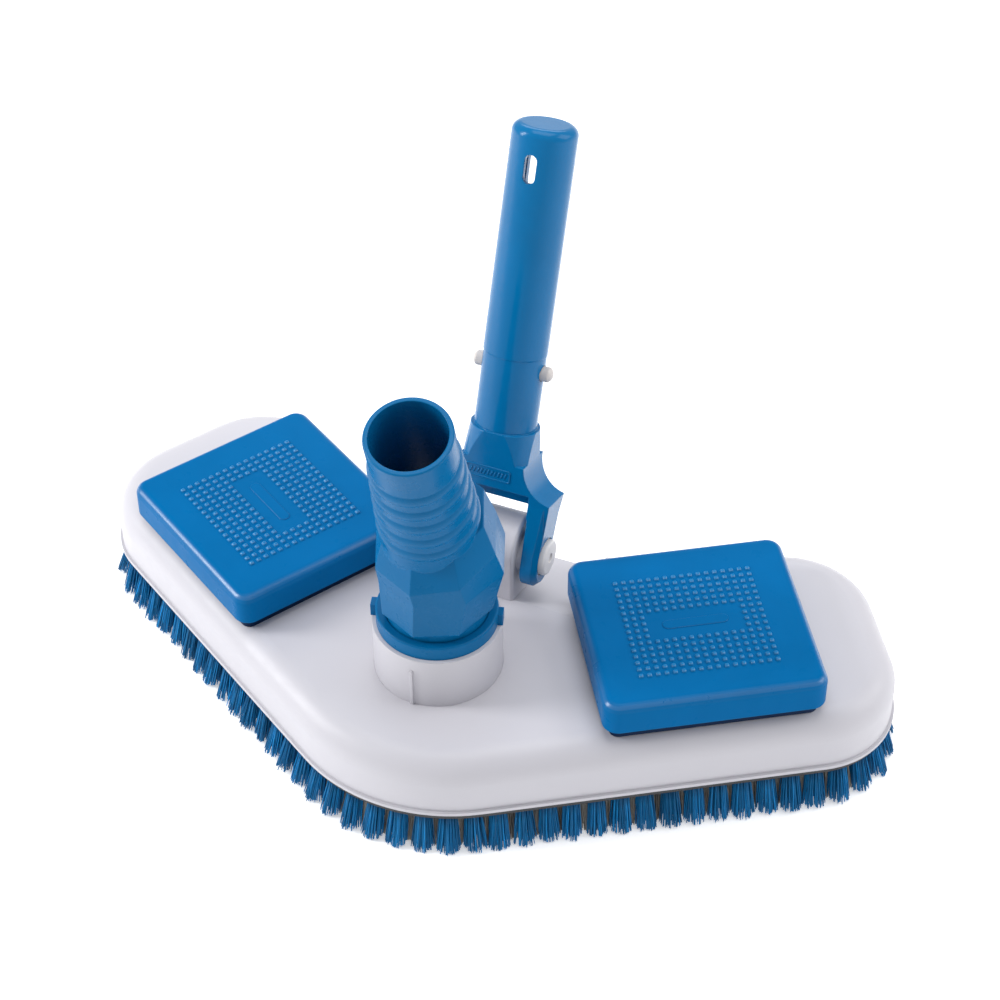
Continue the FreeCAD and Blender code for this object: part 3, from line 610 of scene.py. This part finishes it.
# ================= handle and bracket =================
def handle_frame():
    """The handle's own frame: origin on the pivot, Z up the tube."""
    joint = next(j for j in frame["record"]["behaviour"]["joints"] if j["name"] == "handle_pivot")
    return Matrix.Translation(Vector(joint["pos_m"])) @ Matrix.Rotation(-LEAN, 4, "X")


def on_surface(node, start, direction):
    """A frame on the node's surface: Z out of it, X level."""
    bm = bmesh.new()
    bm.from_mesh(NODES[node].data)
    place, out, _, _ = BVHTree.FromBMesh(bm).ray_cast(start, direction)
    bm.free()
    level = Vector((0, 0, 1)).cross(out).normalized()
    rise = out.cross(level)
    return Matrix.Translation(place) @ Matrix((level, rise, out)).transposed().to_4x4()


def rounded_rectangle(length, width, corner, steps=6):
    points = []
    for x, y, turn in ((1, 1, 0), (-1, 1, 1), (-1, -1, 2), (1, -1, 3)):
        for k in range(steps):
            a = math.pi / 2 * (turn + k / (steps - 1))
            points.append(Vector((x * (length / 2 - corner) + corner * math.cos(a),
                                  y * (width / 2 - corner) + corner * math.sin(a), 0)))
    return points


def add_rim(vertices, faces, length, width, corner, height):
    """A raised border with a rounded top."""
    profile = ((0.0, -0.2), (0.08, 0.75), (0.2, 1.0), (0.5, 1.0), (0.62, 0.75), (0.7, -0.2))
    base = len(vertices)
    for inset, rise in profile:
        ring = rounded_rectangle(length - 2 * inset * MM, width - 2 * inset * MM, corner - inset * 0.5 * MM)
        vertices.extend(point + Vector((0, 0, rise * height)) for point in ring)
    skin_rings(faces, base, len(ring), len(profile))


def add_bar(vertices, faces, centre, length, width, lean, height):
    """A short slanted bar with a narrower top."""
    base = len(vertices)
    for grow, rise in ((1.0, -0.2), (1.0, 0.6), (0.6, 1.0)):
        for x, y in ((-1, -1), (1, -1), (1, 1), (-1, 1)):
            up = y * length / 2 * (0.5 + grow / 2)
            vertices.append(centre + Vector((x * width / 2 * grow + up * lean, up, rise * height)))
    skin_rings(faces, base, 4, 3)
    faces.append(tuple(base + 8 + k for k in range(4)))


def make_fork_panel():
    """Plain bordered panel with a row of slanted bars on the front of the fork."""
    vertices, faces = [], []
    add_rim(vertices, faces, PANEL_LENGTH, PANEL_WIDTH, PANEL_CORNER, PANEL_H)
    for k in range(PANEL_BARS):
        x = (k - (PANEL_BARS - 1) / 2) * PANEL_PITCH
        add_bar(vertices, faces, Vector((x, 0, 0)), BAR_LENGTH, BAR_WIDTH, BAR_LEAN, BAR_H)
    piece = add_mesh("fork_panel", vertices, faces)
    place = handle_frame()
    start = place @ Vector((PANEL_AT[0], -RAY_START, PANEL_AT[1]))
    piece.matrix_world = on_surface("pole_handle", start, place.to_3x3() @ Vector((0, 1, 0)))
    finish_piece(piece, MATERIALS["handle_plastic"], "handle")


def make_ejector_marks():
    """Shallow ringed marks left by the mould on the front of the bracket."""
    vertices, faces = [], []
    low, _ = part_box("handle_bracket")
    for side in (1, -1):
        start = Vector((side * MARK_X, low.y - RAY_START, low.z + MARK_Z))
        place = on_surface("handle_bracket", start, Vector((0, 1, 0)))
        base = len(vertices)
        for reach, rise in MARK_RINGS:
            for k in range(MARK_SIDES):
                a = 2 * math.pi * k / MARK_SIDES
                vertices.append(place @ (Vector((reach * math.cos(a), reach * math.sin(a), rise)) * MM))
        vertices.append(place @ Vector((0, 0, MARK_RINGS[-1][1] * MM)))
        skin_rings(faces, base, MARK_SIDES, len(MARK_RINGS))
        close_ring(faces, base + (len(MARK_RINGS) - 1) * MARK_SIDES, MARK_SIDES, len(vertices) - 1)
    piece = add_mesh("ejector_marks", vertices, faces)
    finish_piece(piece, MATERIALS["shell_plastic"], "head")


# ================= stage =================
def make_stage():
    corners = [(x * FLOOR_HALF, y * FLOOR_HALF, 0) for x, y in ((-1, -1), (1, -1), (1, 1), (-1, 1))]
    floor = add_mesh("floor", corners, [(0, 1, 2, 3)], smooth=False)
    m = Nodes("floor_paper")
    m.link(m.ramp(m.noise(3.0, 2.0), [(0.2, (0.93, 0.93, 0.935)), (0.8, (0.95, 0.95, 0.95))]),
           m.shader.inputs["Base Color"])
    m.shader.inputs["Roughness"].default_value = 0.9
    m.shader.inputs["Specular IOR Level"].default_value = 0.1
    m.shader.inputs["Emission Color"].default_value = (1, 1, 1, 1)
    m.shader.inputs["Emission Strength"].default_value = FLOOR_GLOW
    floor.data.materials.append(m.material)


def soft_light(name, place, target, size, power):
    data = bpy.data.lights.new(name, "AREA")
    data.shape = "RECTANGLE"
    data.size, data.size_y = size
    data.energy = power
    light = bpy.data.objects.new(name, data)
    light.location = COLLAR + Vector(place)
    aim = COLLAR + Vector(target) - light.location
    light.rotation_euler = aim.to_track_quat("-Z", "Y").to_euler()
    bpy.context.scene.collection.objects.link(light)


def make_lights():
    for name, values in LIGHTS.items():
        soft_light(name, *values)
    world = bpy.data.worlds.new("studio")
    world.use_nodes = True
    background = world.node_tree.nodes["Background"]
    background.inputs["Color"].default_value = WORLD_COLOUR
    background.inputs["Strength"].default_value = WORLD_STRENGTH
    bpy.context.scene.world = world
    bpy.context.scene.view_settings.view_transform = "Standard"


make_camera()
dress_cad()
make_bristles()
for side, hand in ((1, "right"), (-1, "left")):
    make_nubs(side, hand)
    make_cover_plate(side, hand)
make_fork_panel()
make_ejector_marks()
make_stage()
make_lights()
